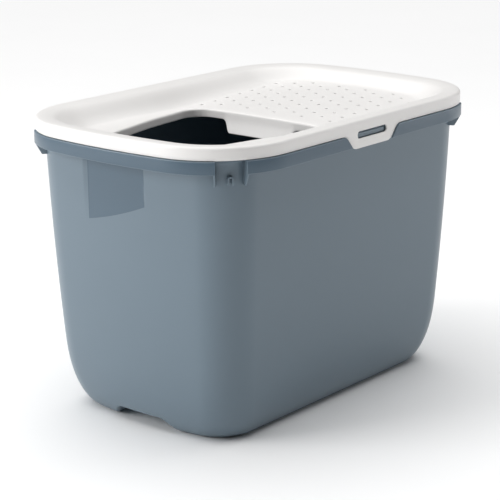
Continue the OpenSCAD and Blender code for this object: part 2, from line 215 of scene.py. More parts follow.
GROUPS = {"rim": RimSizes, "tub": TubSizes, "lid": LidSizes, "entry": EntrySizes, "latch": LatchSizes,
          "bracket": BracketSizes, "plastic": PlasticLooks, "studio": StudioSizes, "fineness": MeshFineness}


class LitterBoxSettings(bpy.types.PropertyGroup):
    """All the settings of the litter box."""
    __annotations__ = {name: PointerProperty(type=group) for name, group in GROUPS.items()}


def settings():
    return bpy.context.scene.litter_box


# ---- plan outlines ----


def unit(turn):
    """The unit vector at an angle in plan."""
    return Vector((math.cos(turn), math.sin(turn)))


def smooth(t):
    t = min(max(t, 0.0), 1.0)
    return t * t * (3 - 2 * t)


def end_radius(half_y, bow):
    return (half_y ** 2 + bow ** 2) / (2 * bow)


def corner_centre(half_x, half_y, corner, bow):
    """Centre of the corner arc that touches the long side and the bowed end."""
    big = end_radius(half_y, bow)
    across = half_y - corner
    return Vector((half_x - big + math.sqrt((big - corner) ** 2 - across ** 2), across))


def end_heights(limit):
    """Places across a short end, from its middle to limit. Fixed ones keep upright edges upright."""
    s = settings()
    step = s.fineness.end_step
    even_reach = 0.072
    inner = [step * (i + 0.5) for i in range(int(even_reach / step))]
    sharp, sloped = s.tub.panel_half - s.tub.panel_middle, s.tub.panel_half + s.tub.panel_middle
    inner = [y for y in inner if abs(y - sharp) > 0.4 * step and abs(y - sloped - 1.5 * MM) > 0.8 * step]
    inner += [sharp - 0.5 * MM, sharp + 0.5 * MM, sloped - 0.5 * MM, sloped + 3.5 * MM]
    inner.sort()
    start = inner[-1]
    count = 6
    return inner + [start + (limit - start) * (i + 1) / count for i in range(count)]


def outline(half_x, half_y, corner, bow):
    """The outline as points, anticlockwise from the middle of the +X end. Its count never varies."""
    fine = settings().fineness
    big = end_radius(half_y, bow)
    centre = corner_centre(half_x, half_y, corner, bow)
    turn = math.atan2(centre.y, centre.x - (half_x - big))
    limit = centre.y + corner * math.sin(turn)
    quarter = [Vector((half_x - big + math.sqrt(big * big - y * y), y)) for y in end_heights(limit)]
    for i in range(1, fine.corner_steps + 1):
        angle = turn + (math.pi / 2 - turn) * i / fine.corner_steps
        quarter.append(centre + corner * unit(angle))
    side = [Vector((centre.x * (1 - 2 * i / fine.side_steps), half_y)) for i in range(1, fine.side_steps)]
    left = [Vector((-p.x, p.y)) for p in reversed(quarter)]
    upper = quarter + side + left
    return upper + [Vector((-p.x, -p.y)) for p in upper]


def rim_outline(inset):
    rim = settings().rim
    return outline(RIM_HIGH.x - inset, RIM_HIGH.y - inset, rim.corner - inset, rim.bow)


def rim_distance(x, y):
    """Distance from a point inside the rim to the rim's edge."""
    rim = settings().rim
    big = end_radius(RIM_HIGH.y, rim.bow)
    centre = corner_centre(RIM_HIGH.x, RIM_HIGH.y, rim.corner, rim.bow)
    turn = math.atan2(centre.y, centre.x - (RIM_HIGH.x - big))
    x, y = abs(x), abs(y)
    angle = math.atan2(y - centre.y, x - centre.x)
    if y > centre.y and turn < angle < math.pi / 2:
        return rim.corner - math.hypot(x - centre.x, y - centre.y)
    return min(RIM_HIGH.y - y, big - math.hypot(x - (RIM_HIGH.x - big), y))


def wall_inset(z):
    """How far the tub's outer wall stands in from the rim's edge at height z."""
    tub = settings().tub
    t = (WALL_TOP - z) / WALL_TOP
    u = max(1 - z / tub.foot_height, 0)
    power = 2.24
    foot = tub.foot_width * (1 - (1 - u ** power) ** (1 / power))
    return tub.overhang + tub.draft * t + tub.belly * t * t + foot


def tub_outline(z, inset):
    """The tub's wall at height z, moved in by inset: rings far in get sharper corners."""
    tub = settings().tub
    gap = wall_inset(z) + inset
    corner = tub.corner - tub.corner_taper * (WALL_TOP - z) / WALL_TOP
    sharper = min(max(inset - 4 * tub.wall, 0), 0.75 * corner)
    return outline(RIM_HIGH.x - gap, RIM_HIGH.y - gap, corner - sharper, tub.bow)


# ---- modelling by hand ----


def object_mode():
    if bpy.context.mode != "OBJECT":
        bpy.ops.object.mode_set(mode="OBJECT")


def select_only(*objects):
    object_mode()
    bpy.ops.object.select_all(action="DESELECT")
    for obj in objects:
        obj.select_set(True)
    if objects:
        bpy.context.view_layer.objects.active = objects[0]


def clean_mesh():
    """In edit mode: merges what meets and turns the faces outwards, then leaves edit mode."""
    bpy.ops.mesh.select_all(action="SELECT")
    bpy.ops.mesh.remove_doubles(threshold=1e-6)
    bpy.ops.mesh.normals_make_consistent(inside=False)
    object_mode()


class RingSkin:
    """A skin drawn by extruding one ring of vertices from place to place."""

    def __init__(self, name, points):
        select_only()
        bpy.ops.mesh.primitive_circle_add(vertices=len(points), radius=1, fill_type="NOTHING")
        self.obj = bpy.context.object
        self.obj.name = self.obj.data.name = name
        place = self.obj.data.attributes.new("ring_place", "INT", "POINT")
        place.data.foreach_set("value", range(len(points)))
        bpy.ops.object.mode_set(mode="EDIT")
        bpy.ops.mesh.select_all(action="SELECT")
        self.put(points)

    def put(self, points):
        mesh = bmesh.from_edit_mesh(self.obj.data)
        place = mesh.verts.layers.int["ring_place"]
        for vertex in mesh.verts:
            if vertex.select:
                vertex.co = points[vertex[place]]
        bmesh.update_edit_mesh(self.obj.data)

    def extrude(self, points):
        bpy.ops.mesh.extrude_region_move()
        self.put(points)

    def close_pole(self):
        """Gathers the last ring in one point."""
        bpy.ops.mesh.extrude_region_move()
        bpy.ops.mesh.merge(type="CENTER")

    def finish(self):
        clean_mesh()
        self.obj.data.attributes.remove(self.obj.data.attributes["ring_place"])
        return self.obj


def shade(obj):
    select_only(obj)
    bpy.ops.object.shade_smooth_by_angle(angle=math.radians(35))


def apply_modifier(obj, kind, **values):
    select_only(obj)
    modifier = obj.modifiers.new(kind, kind)
    for key, value in values.items():
        setattr(modifier, key, value)
    bpy.ops.object.modifier_apply(modifier=modifier.name)


def cut(obj, cutter):
    """Takes the cutter out of a piece and deletes it."""
    apply_modifier(obj, "BOOLEAN", operation="DIFFERENCE", solver="EXACT", object=cutter)
    bpy.data.objects.remove(cutter, do_unlink=True)


def apply_bevel(obj, width):
    apply_modifier(obj, "BEVEL", width=width, segments=2, limit_method="ANGLE", angle_limit=math.radians(40))


def prism(name, points, depth):
    """A closed prism: a ring of points, filled and extruded by the vector depth."""
    skin = RingSkin(name, points)
    bpy.ops.mesh.edge_face_add()
    skin.extrude([Vector(p) + Vector(depth) for p in points])
    return skin.finish()


def block(name, low, high):
    """A closed box between two corners."""
    corners = [(low[0], low[1]), (high[0], low[1]), (high[0], high[1]), (low[0], high[1])]
    return prism(name, [Vector((x, y, low[2])) for x, y in corners], (0, 0, high[2] - low[2]))


def joined(name, objects):
    select_only(*objects)
    bpy.ops.object.join()
    obj = bpy.context.object
    obj.name = obj.data.name = name
    return obj


def mirrored(obj, axis, name):
    """A mirrored copy with its own mesh, its faces turned outwards again."""
    select_only(obj)
    bpy.ops.object.duplicate(linked=False)
    copy = bpy.context.object
    copy.name = copy.data.name = name
    flip = [1.0, 1.0, 1.0]
    flip[axis] = -1.0
    copy.data.transform(Matrix.Diagonal((*flip, 1.0)))
    bpy.ops.object.mode_set(mode="EDIT")
    bpy.ops.mesh.select_all(action="SELECT")
    bpy.ops.mesh.flip_normals()
    object_mode()
    return copy


def four_corners(obj):
    """The piece and its copies at the other three corners."""
    across = mirrored(obj, 1, obj.name + ".y")
    return [obj, across, mirrored(obj, 0, obj.name + ".x"), mirrored(across, 0, obj.name + ".xy")]


def rounded(points, radii, steps=10):
    """A polygon's corners rounded to the given radii."""
    out = []
    for i, (p, radius) in enumerate(zip(points, radii)):
        if radius <= 0:
            out.append(Vector(p))
            continue
        p = Vector(p)
        before = (Vector(points[i - 1]) - p).normalized()
        after = (Vector(points[(i + 1) % len(points)]) - p).normalized()
        half = before.angle(after) / 2
        centre = p + (before + after).normalized() * radius / math.sin(half)
        start = p + before * radius / math.tan(half) - centre
        end = p + after * radius / math.tan(half) - centre
        for k in range(steps + 1):
            turn = math.pi / 2 * k / steps
            arm = start * math.cos(turn) + end * math.sin(turn)
            out.append(centre + arm.normalized() * radius)
    return out


# ---- materials ----


class Value:
    """A number socket that can be used in sums."""

    def __init__(self, shop, socket):
        self.shop, self.socket = shop, socket

    def maths(self, operation, other):
        values = [v.socket if isinstance(v, Value) else v for v in (self, other)]
        node = self.shop.node("ShaderNodeMath", {"operation": operation}, dict(enumerate(values)))
        return Value(self.shop, node.outputs[0])

    def __add__(self, other):
        return self.maths("ADD", other)

    def __mul__(self, other):
        return self.maths("MULTIPLY", other)

    def clamp(self, low=0.0, high=1.0):
        return self.maths("MAXIMUM", low).maths("MINIMUM", high)


class Shop:
    """A material's node tree and the one method that adds to it."""

    def __init__(self, name):
        self.material = bpy.data.materials.new(name)
        self.material.use_nodes = True
        self.tree = self.material.node_tree
        self.shader = self.tree.nodes["Principled BSDF"]
        self.place = self.node("ShaderNodeTexCoord").outputs["Object"]

    def node(self, kind, options=None, sockets=None):
        node = self.tree.nodes.new(kind)
        for key, value in (options or {}).items():
            setattr(node, key, value)
        for key, value in (sockets or {}).items():
            if isinstance(value, Value):
                value = value.socket
            if isinstance(value, bpy.types.NodeSocket):
                self.tree.links.new(value, node.inputs[key])
            else:
                node.inputs[key].default_value = value
        return node

    def noise(self, scale, detail=2.0, roughness=0.5):
        node = self.node("ShaderNodeTexNoise", {"noise_dimensions": "3D"},
                         {"Vector": self.place, "Scale": scale, "Detail": detail, "Roughness": roughness})
        return Value(self, node.outputs["Fac"])

    def blend(self, factor, first, second):
        node = self.node("ShaderNodeMix", {"data_type": "RGBA"}, {"Factor": factor})
        for key, value in (("A", first), ("B", second)):
            socket = [s for s in node.inputs if s.name == key and s.type == "RGBA"][0]
            if isinstance(value, bpy.types.NodeSocket):
                self.tree.links.new(value, socket)
            else:
                socket.default_value = value
        return [s for s in node.outputs if s.type == "RGBA"][0]

    def feed(self, name, value):
        socket = value.socket if isinstance(value, Value) else value
        self.tree.links.new(socket, self.shader.inputs[name])

    def fix(self, **values):
        for name, value in values.items():
            self.shader.inputs[name.replace("_", " ")].default_value = value

    def bump(self, height, distance):
        node = self.node("ShaderNodeBump", None, {"Height": height, "Distance": distance, "Strength": 1.0})
        self.tree.links.new(node.outputs["Normal"], self.shader.inputs["Normal"])


def tint(colour, factor):
    return (*[min(c * factor, 1.0) for c in colour], 1.0)


def moulded_plastic(name, colour, gloss, grain):
    """Moulded polypropylene: faint flow in its colour, a fine skin and slightly uneven gloss."""
    known = bpy.data.materials.get(name)
    if known:
        return known
    shop = Shop(name)
    flow = shop.noise(5.0, 3.0)
    cloud = shop.noise(38.0, 4.0, 0.6)
    speck = shop.noise(900.0, 1.0)
    mix = (flow * 0.6 + cloud * 0.25 + speck * 0.15).clamp()
    shop.feed("Base Color", shop.blend(mix, tint(colour, 0.955), tint(colour, 1.045)))
    shop.feed("Roughness", (cloud * 0.08 + speck * 0.05 + (gloss - 0.065)).clamp(0.05, 0.95))
    shop.bump(speck * 0.7 + shop.noise(260.0, 2.0) * 0.3, grain)
    shop.fix(IOR=1.49, Metallic=0.0, Specular_IOR_Level=0.4)
    return shop.material


def tub_plastic():
    return moulded_plastic("blue_grey_plastic", settings().plastic.tub, 0.34, 0.00003)


# The tub's plastic a touch glossier, with its colour darkened as painted shade for upright faces
def glossy_shaded_tub_plastic():
    return moulded_plastic("blue_grey_plastic_glossy_painted_shade", settings().plastic.tub_glossy_shaded, 0.32, 0.00003)


def lid_plastic():
    return moulded_plastic("warm_white_plastic", settings().plastic.lid, 0.36, 0.00002)


def finish_piece(obj, material, body=None):
    """Gives a piece its material and its place on a body."""
    obj.data.materials.clear()
    obj.data.materials.append(material)
    if body:
        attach(obj, body)


# ---- the tub ----


def arch_height(x, y):
    """Height of the arch under a short end, at a point under the tub."""
    tub = settings().tub
    across = smooth((tub.arch_foot - abs(y)) / (tub.arch_foot - tub.arch_top))
    start = RIM_HIGH.x - tub.arch_reach
    along = smooth((abs(x) - start) / (16 * MM))
    return tub.arch_height * across * along


def lifted(points, extra=0.0):
    """Lifts points of the underside into the arches, with a rounded edge."""
    out = []
    for p in points:
        arch = arch_height(p.x, p.y)
        z = p.z
        if arch > 0:
            top = arch + extra
            soft = 1.6 * MM * min(arch / (5 * MM), 1)
            z = max(z, top) + max(soft - abs(z - top), 0) ** 2 / (4 * soft)
        out.append(Vector((p.x, p.y, z)))
    return out


def panel_face(y):
    """Distance of the flat panel's face from the middle of the box."""
    tub = settings().tub
    return RIM_HIGH.x - tub.panel_inset - (y - tub.panel_crown) ** 2 / (2 * tub.panel_bow)


def panel_foot(y):
    """Height at which the panel runs out in the wall."""
    tub = settings().tub
    wall_bow = y * y / (2 * end_radius(RIM_HIGH.y - tub.panel_inset, tub.bow))
    extra = RIM_HIGH.x - panel_face(y) - wall_bow - tub.overhang
    t = (math.sqrt(tub.draft ** 2 + 4 * tub.belly * extra) - tub.draft) / (2 * tub.belly)
    return WALL_TOP * (1 - t)


def in_panel(p):
    tub = settings().tub
    return p.x < 0 and abs(p.y - tub.panel_middle) < tub.panel_half


def wall_ring(level, inset):
    """One ring of the tub's wall. Near the panel, one level follows the line where the panel runs out."""
    key, low, high = BEND_KEY, BEND_LOW, BEND_HIGH
    far_out = 0.2
    out = []
    for p in tub_outline(level, inset):
        z = level
        if in_panel(p) and abs(p.x) > far_out and low < level < high:
            foot = panel_foot(p.y)
            z = (foot if level == key else
                 low + (foot - low) * (level - low) / (key - low) if level < key else
                 foot + (high - foot) * (level - key) / (high - key))
            shift = wall_inset(z) - wall_inset(level)
            p = Vector((p.x + shift, p.y))
        if in_panel(p) and z > PANEL_ABOVE:
            p = Vector((max(p.x, -panel_face(p.y) + inset), p.y))
        out.append(Vector((p.x, p.y, z)))
    return out


def flat_ring(points, z):
    return [Vector((p.x, p.y, z)) for p in points]


def wall_levels(low, high):
    """Heights of the wall's rings, in order: close together round the arches' edges."""
    foot = [0.3, 1.0, 2.2, 4, 6.2, 8.6, 11, 13, 15, 16.6, 17.8, 18.7, 19.6, 21, 23, 26, 30, 35, 41, 48, 56]
    wall = [65, 75, 85, 95, 115, 140, 170, 200, 230, 250, 270, 290, 305, 320, 335, 350, 360, 368]
    return [z * MM for z in foot + wall if low < z * MM < high]


def tub_sections():
    """The tub's rings, from the middle of its underside over the rim to the middle of its floor."""
    s = settings()
    tub, rim = s.tub, s.rim
    flange_low = RIM_HIGH.z - rim.flange_wall
    insets = [0, 2, 4, 7, 10, 14, 18, 23, 28, 34, 42, 52]
    floor_rings = [tub_outline(0, i * MM) for i in insets]
    middle = [[p * f for p in floor_rings[-1]] for f in (0.85, 0.6, 0.3, 0.08)]
    under = [flat_ring(r, 0) for r in reversed(floor_rings + middle)]
    yield from (lifted(r) for r in under)
    for z in wall_levels(0, flange_low - 4 * MM):
        yield lifted(wall_ring(z, 0))
    for angle in (0, 30, 60, 90):
        turn = math.radians(angle)
        bend = 3 * MM
        yield wall_ring(flange_low - bend * (1 - math.sin(turn)), -bend * (1 - math.cos(turn)))
    skirt = [(rim.skirt_wall + 1 * MM, flange_low), (rim.skirt_wall, flange_low - 1 * MM)]
    low = SKIRT_LOW.z
    skirt += [(rim.skirt_wall, low + 0.5 * MM), (rim.skirt_wall - 0.15 * MM, low + 0.15 * MM),
              (rim.skirt_wall - 0.5 * MM, low), (0.6 * MM, low), (0.2 * MM, low + 0.18 * MM),
              (0, low + 0.6 * MM)]
    top = RIM_HIGH.z
    skirt += [(0, (low + top) / 2), (0, top - 1.2 * MM), (0.1 * MM, top - 0.7 * MM),
              (0.35 * MM, top - 0.35 * MM), (0.7 * MM, top - 0.1 * MM), (1.2 * MM, top),
              (rim.lip_inset - 0.4 * MM, top)]
    lip_top = top + rim.lip_height
    lip = rim.lip_inset
    back = lip + rim.lip_wall
    skirt += [(lip, top + 0.4 * MM), (lip, lip_top - 0.5 * MM), (lip + 0.5 * MM, lip_top),
              (back - 0.5 * MM, lip_top), (back, lip_top - 0.5 * MM), (back, top)]
    for inset, z in skirt:
        yield flat_ring(rim_outline(inset), z)
    yield flat_ring(tub_outline(flange_low, tub.wall - 1.5 * MM), top)
    yield flat_ring(tub_outline(flange_low, tub.wall - 0.4 * MM), top - 0.4 * MM)
    hollow = 40 * MM
    for z in reversed(wall_levels(hollow, top - 3 * MM)):
        yield wall_ring(z, tub.wall)
    for z in reversed(wall_levels(0, hollow)):
        height = max(z, tub.wall) + tub.wall * max(1 - z / hollow, 0) * 0.5
        yield lifted(flat_ring(tub_outline(z, tub.wall), height), tub.wall)
    for ring in reversed(under):
        if ring is not under[-1]:
            yield lifted([Vector((p.x, p.y, tub.wall)) for p in ring], tub.wall)


def tab_outline(grow, top):
    """A latch tab's outline, grown by a gap, up to the height top above the skirt's edge."""
    latch = settings().latch
    lean = latch.lean
    slant = math.hypot(lean, latch.reach) / latch.reach
    shoulder = latch.half - 10 * MM + grow * slant
    low = shoulder - lean * (latch.reach + grow) / latch.reach
    side, edge = latch.half + grow, -latch.reach - grow
    points = [(-side, top), (-side, 0), (-shoulder, 0), (-low, edge), (low, edge), (shoulder, 0), (side, 0),
              (side, top)]
    radii = [0, 0, *[14.5 * MM] * 4, 0, 0]
    return [p + Vector((latch.middle, 0)) for p in rounded(points, radii)]


def upright(points, y, base_z):
    """Points of an X-Z drawing, stood up at y."""
    return [Vector((p.x, y, base_z + p.y)) for p in points]


def bracket_cutter(depth, low):
    """A sector that opens the rim at one corner, to a depth, down to the height low."""
    s = settings()
    rim, bracket = s.rim, s.bracket
    centre = corner_centre(RIM_HIGH.x, RIM_HIGH.y, rim.corner, rim.bow)
    margin = bracket.gusset_wall / rim.corner
    near, far = rim.corner - depth, rim.corner + 6 * MM
    span = bracket.last - bracket.first - 2 * margin
    angles = [bracket.first + margin + span * i / 8 for i in range(9)]
    arc = [centre + near * unit(a) for a in angles] + [centre + far * unit(a) for a in reversed(angles)]
    return prism("bracket_cutter", flat_ring(arc, low), (0, 0, RIM_HIGH.z + 0.02 * MM - low))


class LITTERBOX_OT_tub(bpy.types.Operator):
    """Models the tub: its drafted wall, arches, panel, overhanging rim and locating lip"""
    bl_idname = "litter_box.tub"
    bl_label = "Add Tub"

    def execute(self, context):
        s = settings()
        sections = tub_sections()
        skin = RingSkin("tub", next(sections))
        for ring in sections:
            skin.extrude(ring)
        skin.close_pole()
        bpy.ops.mesh.select_all(action="DESELECT")
        bpy.ops.mesh.select_non_manifold(extend=False)
        skin.close_pole()
        tub = skin.finish()
        for side in (-1, 1):
            start = side * (RIM_HIGH.y + 5 * MM)
            depth = -side * (5 * MM + s.rim.lip_inset - 0.02 * MM)
            drawing = tab_outline(s.latch.gap, s.latch.slot_rise)
            cut(tub, prism("tab_cutter", upright(drawing, start, SEAM_LOW.z), (0, depth, 0)))
        for depth, low in ((8 * MM, SKIRT_LOW.z - 2 * MM), (12.6 * MM, SKIRT_LOW.z + 8 * MM)):
            for cutter in four_corners(bracket_cutter(depth, low)):
                cut(tub, cutter)
        walls = []
        for side in (-1, 1):
            half = s.latch.half + s.latch.gap + 1 * MM
            edge = RIM_HIGH.y - s.rim.lip_inset
            ys = sorted((side * edge, side * (edge - s.rim.lip_wall)))
            walls.append(block("pocket_wall", (s.latch.middle - half, ys[0], SKIRT_LOW.z - 2 * MM),
                               (s.latch.middle + half, ys[1], RIM_HIGH.z)))
        tub = joined("tub", [tub, *walls])
        shade(tub)
        finish_piece(tub, tub_plastic(), "tub")
        self.paint_gloss_and_shade(tub)
        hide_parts("tub_floor", "near_foot", "far_foot", "tub_wall", "rim_flange", "rim_skirt",
                    "rim_lip")
        return {"FINISHED"}

    def paint_gloss_and_shade(self, tub):
        """Gives the rim's upright skirt and the flat panel's face the glossier copy of the plastic, whose
        darker colour is painted shade.
        """
        tub.data.materials.append(glossy_shaded_tub_plastic())
        for face in tub.data.polygons:
            middle = face.center
            # Faces are picked by being upright: their darker colour is painted shade
            upright_face = abs(face.normal.z) < 0.012
            skirt = middle.z > SKIRT_LOW.z and rim_distance(middle.x, middle.y) < 1 * MM
            on_face = abs(abs(middle.x) - panel_face(middle.y)) < 0.05 * MM
            panel = in_panel(middle) and middle.z > PANEL_ABOVE and on_face
            if upright_face and (skirt or panel):
                face.material_index = 1


class LITTERBOX_OT_brackets(bpy.types.Operator):
    """Models the gussets and the small loops at the rim's corners"""
    bl_idname = "litter_box.brackets"
    bl_label = "Add Corner Brackets"

    def execute(self, context):
        s = settings()
        rim, bracket = s.rim, s.bracket
        centre = corner_centre(RIM_HIGH.x, RIM_HIGH.y, rim.corner, rim.bow)
        outer = rim.corner - 0.2 * MM
        foot = SKIRT_LOW.z - bracket.gusset_reach
        top = RIM_HIGH.z - rim.flange_wall
        plates = []
        for angle, side in ((bracket.first, 1), (bracket.last, -1)):
            out = unit(angle)
            along = Vector((-out.y, out.x)) * side * bracket.gusset_wall
            drawing = rounded([(rim.corner - 20 * MM, top), (outer, top), (outer, SKIRT_LOW.z),
                               (rim.corner - bracket.gusset_taper, foot), (rim.corner - 20 * MM, foot)],
                              [0, 0, 4 * MM, 2 * MM, 0])
            points = [Vector((*(centre + out * p.x), p.y)) for p in drawing]
            plates.append(prism("gusset", points, (*along, 0)))
        pair = joined("corner_gusset", plates)
        apply_bevel(pair, 0.35 * MM)
        gussets = joined("corner_gusset_set", four_corners(pair))
        shade(gussets)
        finish_piece(gussets, tub_plastic(), "tub")
        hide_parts("corner_gussets")
        loops = joined("corner_loop_set", four_corners(self.loop(centre)))
        shade(loops)
        finish_piece(loops, tub_plastic(), "tub")
        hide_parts("corner_loops")
        return {"FINISHED"}

    def loop(self, centre):
        """One small loop: a bent bar, swept up one side, over and down the other."""
        s = settings()
        bracket, rim = s.bracket, s.rim
        angle = (bracket.first + bracket.last) / 2
        out = unit(angle).to_3d()
        along = Vector((-out.y, out.x, 0))
        wide, bar = bracket.loop_width / 2, 2.2 * MM
        base = Vector((*centre, SKIRT_LOW.z - 14 * MM)) + out * (rim.corner - 14 * MM)
        high = bracket.loop_height
        outer = rounded([(-wide, 0), (-wide, high), (wide, high), (wide, 0)], [0, 3.4 * MM, 3.4 * MM, 0], 8)
        near, low = wide - bar, high - bar
        inner = rounded([(-near, 0), (-near, low), (near, low), (near, 0)], [0, 1.4 * MM, 1.4 * MM, 0], 8)
        drawing = outer + list(reversed(inner))
        points = [base + along * p.x + Vector((0, 0, p.y)) for p in drawing]
        loop = prism("corner_loop", points, out * 6.4 * MM)
        apply_bevel(loop, 0.4 * MM)
        return loop


class LITTERBOX_OT_catches(bpy.types.Operator):
    """Models the low ledge behind the slot of each latch tab"""
    bl_idname = "litter_box.catches"
    bl_label = "Add Latch Catches"

    def execute(self, context):
        low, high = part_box("latch_catches")
        depth = 1.5 * MM
        edge = 0.8 * MM
        ledges = []
        for y, step in ((low.y, depth), (high.y, -depth)):
            drawing = rounded([(low.x, 0), (high.x, 0), (high.x, high.z - low.z), (low.x, high.z - low.z)],
                              [1.2 * MM] * 4, 6)
            points = upright(drawing, y + step, low.z)
            skin = RingSkin("latch_catch", points)
            bpy.ops.mesh.edge_face_add()
            skin.extrude([Vector((p.x, y + step / 2, p.z)) for p in points])
            middle = (low + high) / 2
            skin.extrude([Vector((p.x + math.copysign(edge, middle.x - p.x) * 0.5, y,
                                  p.z + math.copysign(edge, middle.z - p.z) * 0.5)) for p in points])
            ledges.append(skin.finish())
        ledges = joined("latch_catch_pair", ledges)
        shade(ledges)
        finish_piece(ledges, tub_plastic(), "tub")
        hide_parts("latch_catches")
        return {"FINISHED"}


# ---- the lid ----


def platform_height(x, y):
    """Height of the dish's middle: it rises to both ends and falls to the sides."""
    lid = settings().lid
    rise = lid.platform_rise * (max(x, 0) - 0.1) + 2.8 * MM * smooth(-x / 0.12)
    return LID_HIGH.z - lid.platform_drop + rise - lid.platform_crown * y * y


def tray_height(x, y):
    """Height of the lid's upper face inside the bead."""
    lid = settings().lid
    k = smooth((rim_distance(x, y) - lid.bead_inner) / (lid.slope_inner - lid.bead_inner))
    return (1 - k) * (LID_HIGH.z - lid.bead_fall) + k * platform_height(x, y)


def entry_outline(grow, guide):
    """The entry's outline grown by a distance, met by rays from its middle towards the guide's points."""
    entry = settings().entry
    slope = (entry.half - entry.end_half) / (entry.edge - entry.end)
    lean = math.sqrt(1 + slope * slope)
    far = entry.half + slope * grow + grow * lean
    near = entry.end_half - slope * grow + grow * lean
    corners = [(entry.edge + grow, -far), (entry.edge + grow, far), (entry.end - grow, near),
               (entry.end - grow, -near)]
    radii = [entry.corner + grow, entry.corner + grow, entry.end_corner + grow, entry.end_corner + grow]
    ring = rounded(corners, radii, 120)
    middle = Vector(((entry.edge + entry.end) / 2, 0))
    polar = sorted((math.atan2(p.y - middle.y, p.x - middle.x), i) for i, p in enumerate(ring))
    out = []
    for g in guide:
        angle = math.atan2(g.y - middle.y, g.x - middle.x)
        k = next((n for n, (a, _) in enumerate(polar) if a > angle), 0)
        first, second = ring[polar[k - 1][1]], ring[polar[k][1]]
        ray = unit(angle)
        edge = second - first
        t = (first - middle).cross(edge) / ray.cross(edge)
        out.append(middle + ray * t)
    return out


def collar_drop(x, y):
    """Height of the collar under a point of the entry's outline."""
    entry = settings().entry
    if x < -entry.end_half:
        return entry.collar
    t = min(max((entry.apron_half + entry.apron_sweep - abs(y)) / entry.apron_sweep, 0), 1)
    k = smooth(smooth(t ** 1.7))
    return entry.collar + (entry.apron - entry.collar) * k


def tray_rings(start, end, drop):
    """Rings from the bead's inner edge to the fold, close together on the slope."""
    near, far = 16, 12
    for k in range(1, near + far):
        ring = []
        for a, b in zip(start, end):
            whole = (b - a).length
            first = min(46 * MM, 0.7 * whole)
            reach = first * k / near if k <= near else first + (whole - first) * (k - near) / far
            p = a.lerp(b, reach / whole)
            ring.append(Vector((p.x, p.y, tray_height(p.x, p.y) - drop)))
        yield ring


def collar_point(p, base, share, drop_extra=0.0):
    """A point of the collar: share of its way down, under the outline point p."""
    entry = settings().entry
    drop = collar_drop(base.x, base.y)
    deep = max(drop - entry.collar, 0) / (entry.apron - entry.collar)
    lean = entry.apron_lean * deep * share * share
    return Vector((p.x - lean, p.y, tray_height(base.x, base.y) - drop * share - drop_extra))


def lid_sections():
    """The lid's rings, from its skirt's edge over the bead and down the collar, and back underneath."""
    s = settings()
    lid, entry = s.lid, s.entry
    top, low, wall, inset = LID_HIGH.z, SEAM_LOW.z, lid.wall, lid.inset
    outer = [(inset + 0.5 * MM, low), (inset + 0.15 * MM, low + 0.15 * MM), (inset, low + 0.5 * MM),
             (inset, low + 5 * MM), (inset, top - lid.bead_radius - 1 * MM)]
    for angle in range(0, 91, 15):
        turn = math.radians(angle)
        outer.append((inset + lid.bead_radius * (1 - math.cos(turn)),
                      top - lid.bead_radius * (1 - math.sin(turn))))
    outer += [(inset + 8 * MM, top)]
    crown = [i / 6 for i in range(1, 7)]
    start_inset = inset + 8 * MM
    outer += [(start_inset + (lid.bead_inner - start_inset) * c, top - lid.bead_fall * c * c) for c in crown]
    for distance, z in outer:
        yield flat_ring(rim_outline(distance), z)
    start = rim_outline(lid.bead_inner)
    fold = entry_outline(entry.fold, start)
    yield from tray_rings(start, fold, 0)
    base = entry_outline(0, start)
    for angle in (0, 18, 36, 54, 72, 90):
        turn = math.radians(angle)
        grown = entry_outline(entry.fold * (1 - math.sin(turn)), start)
        yield [Vector((p.x, p.y, tray_height(b.x, b.y) - entry.fold * (1 - math.cos(turn))))
               for p, b in zip(grown, fold)]
    lip = wall / 2
    shares = (0.3, 0.45, 0.6, 0.75, 0.88, 1)
    for share in shares:
        yield [collar_point(p, p, share) for p in base]
    for angle in (30, 60, 90, 120, 150):
        turn = math.radians(angle)
        grown = entry_outline(lip * (1 - math.cos(turn)), start)
        yield [collar_point(p, b, 1, lip * math.sin(turn)) for p, b in zip(grown, base)]
    back = entry_outline(wall, start)
    for share in reversed(shares):
        yield [collar_point(p, b, share) for p, b in zip(back, base)]
    under_fold = entry_outline(entry.fold + 1.5 * MM, start)
    yield [Vector((p.x, p.y, tray_height(p.x, p.y) - wall)) for p in under_fold]
    yield from reversed(list(tray_rings(start, under_fold, wall)))
    back_face = inset + wall
    inner = [(lid.bead_inner - 2 * MM, top - lid.bead_fall - wall), (start_inset, top - wall),
             (inset + lid.bead_radius + 0.6 * MM, top - wall),
             (back_face + 0.6 * MM, top - lid.bead_radius + 1 * MM), (back_face, top - lid.bead_radius),
             (back_face, low + 5 * MM), (back_face, low + 0.5 * MM),
             (back_face - 0.15 * MM, low + 0.15 * MM), (back_face - 0.5 * MM, low)]
    for distance, z in inner:
        yield flat_ring(rim_outline(distance), z)


def drain_hole_places():
    """Centres of the drain holes: odd rows stand one step along, and the outer rows one step back."""
    lid = settings().lid
    for row in range(-5, 6):
        shift = -1 if abs(row) == 5 else 1 if row % 2 else 0
        for i in range(-3, 4):
            yield lid.hole_middle + lid.hole_step * (2 * i + shift), row * lid.row_step


def drain_cutter():
    """All the drain holes as one cutter: each is a short bar that widens at the platform's face."""
    lid = settings().lid
    radius, edge, sides = lid.hole / 2, 0.45 * MM, 20
    turns = [2 * math.pi * i / sides for i in range(sides)]
    circle = [(math.cos(turn), math.sin(turn)) for turn in turns]
    bars = []
    for x, y in drain_hole_places():
        z = tray_height(x, y)
        levels = [(radius, -6 * MM), (radius, -edge), (radius + edge, 0), (radius + 3 * edge, 2 * edge)]
        rings = [[Vector((x + c * r, y + d * r, z + h)) for c, d in circle] for r, h in levels]
        skin = RingSkin("drain_cutter", rings[0])
        for ring in rings[1:]:
            skin.extrude(ring)
        bpy.ops.mesh.select_all(action="SELECT")
        bpy.ops.mesh.region_to_loop()
        bpy.ops.mesh.edge_face_add()
        bars.append(skin.finish())
    return joined("drain_cutter", bars)


